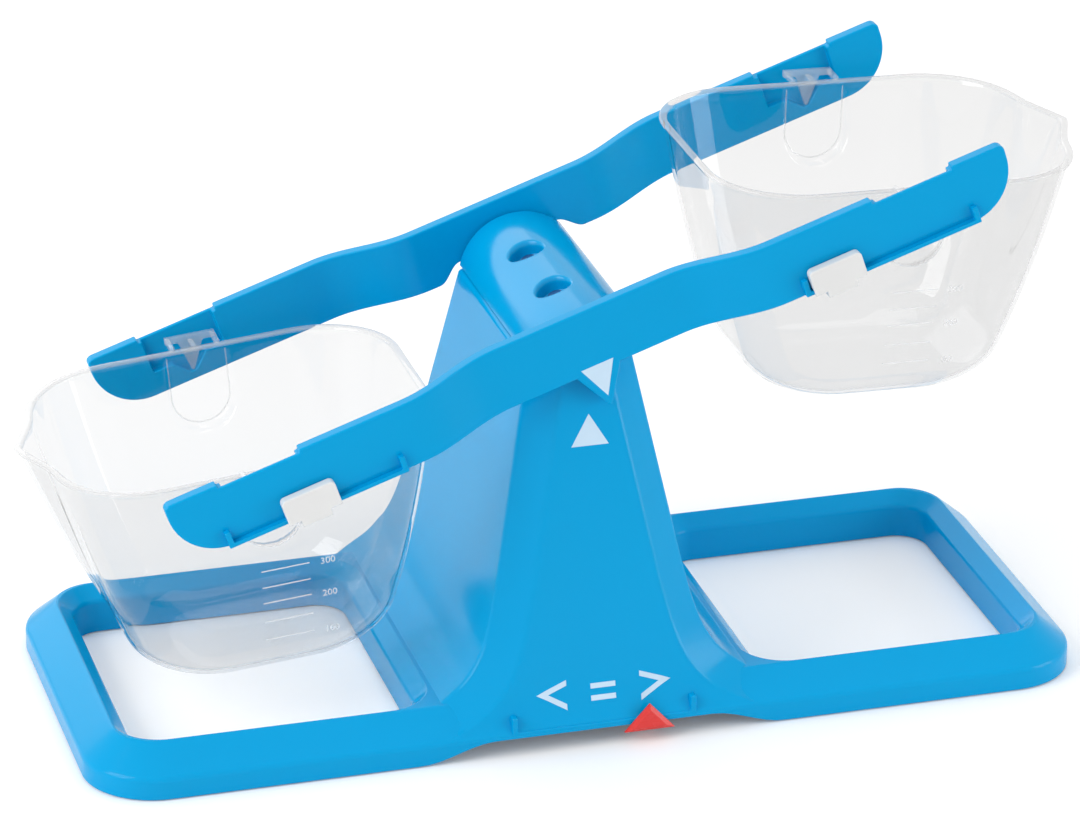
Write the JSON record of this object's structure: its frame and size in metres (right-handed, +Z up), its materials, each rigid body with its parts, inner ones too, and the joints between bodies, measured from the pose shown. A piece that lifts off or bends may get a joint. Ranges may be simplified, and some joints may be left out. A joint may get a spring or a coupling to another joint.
{
  "type": "nesting bucket balance",
  "caption": "Classroom balance: a tilting twin-arm beam on a tower with ring feet carries two clear spouted buckets, with sliding trim weights and a marker for less, equal or more.",
  "frame": {"origin": "on the floor under the tower, midway between the ends and the sides of the whole balance", "axes": "+Z up, X along the beam with the raised bucket at +X, front with the marker at -Y"},
  "size_m": [0.3843, 0.1531, 0.2045],
  "materials": {
    "blue": "glossy moulded plastic",
    "white": "satin moulded plastic",
    "red": "satin moulded plastic",
    "clear": "clear moulded plastic",
    "steel": "zinc plated"
  },
  "bodies": {
    "base": {"base_tower": "blue"},
    "beam": {"hub_saddle": "blue", "front_arm": "blue", "back_arm": "blue", "fulcrum_bar": "white", "hub_screw_front": "steel", "hub_screw_back": "steel"},
    "left_trim": {"left_compensator": "white"},
    "right_trim": {"right_compensator": "white"},
    "marker": {"marker_clip": "red"},
    "left_pail": {"left_bucket": "clear"},
    "right_pail": {"right_bucket": "clear"}
  },
  "joints": [
    {"name": "beam_tilt", "type": "hinge", "parent": "base", "child": "beam", "pos_m": [0, 0, 0.1404], "axis": [0, 1, 0], "range_deg": [0, 37.6]},
    {"name": "left_bucket_swing", "type": "hinge", "parent": "beam", "child": "left_pail", "pos_m": [-0.11345, 0, 0.09756], "axis": [0, 1, 0], "range_deg": [-34, 0]},
    {"name": "right_bucket_swing", "type": "hinge", "parent": "beam", "child": "right_pail", "pos_m": [0.11602, 0, 0.17567], "axis": [0, 1, 0], "range_deg": [-34, 0]},
    {"name": "left_compensator_slide", "type": "slide", "parent": "beam", "child": "left_trim", "axis": [0.9466, 0, 0.3223], "range_m": [-0.0189, 0.0229]},
    {"name": "right_compensator_slide", "type": "slide", "parent": "beam", "child": "right_trim", "axis": [0.9466, 0, 0.3223], "range_m": [-0.0003, 0.0413]},
    {"name": "marker_slide", "type": "slide", "parent": "base", "child": "marker", "axis": [1, 0, 0], "range_m": [-0.0378, 0.0058]}
  ],
  "couplings": [
    {"joint": "left_bucket_swing", "follows": "beam_tilt", "ratio": -0.9},
    {"joint": "right_bucket_swing", "follows": "beam_tilt", "ratio": -0.9}
  ]
}
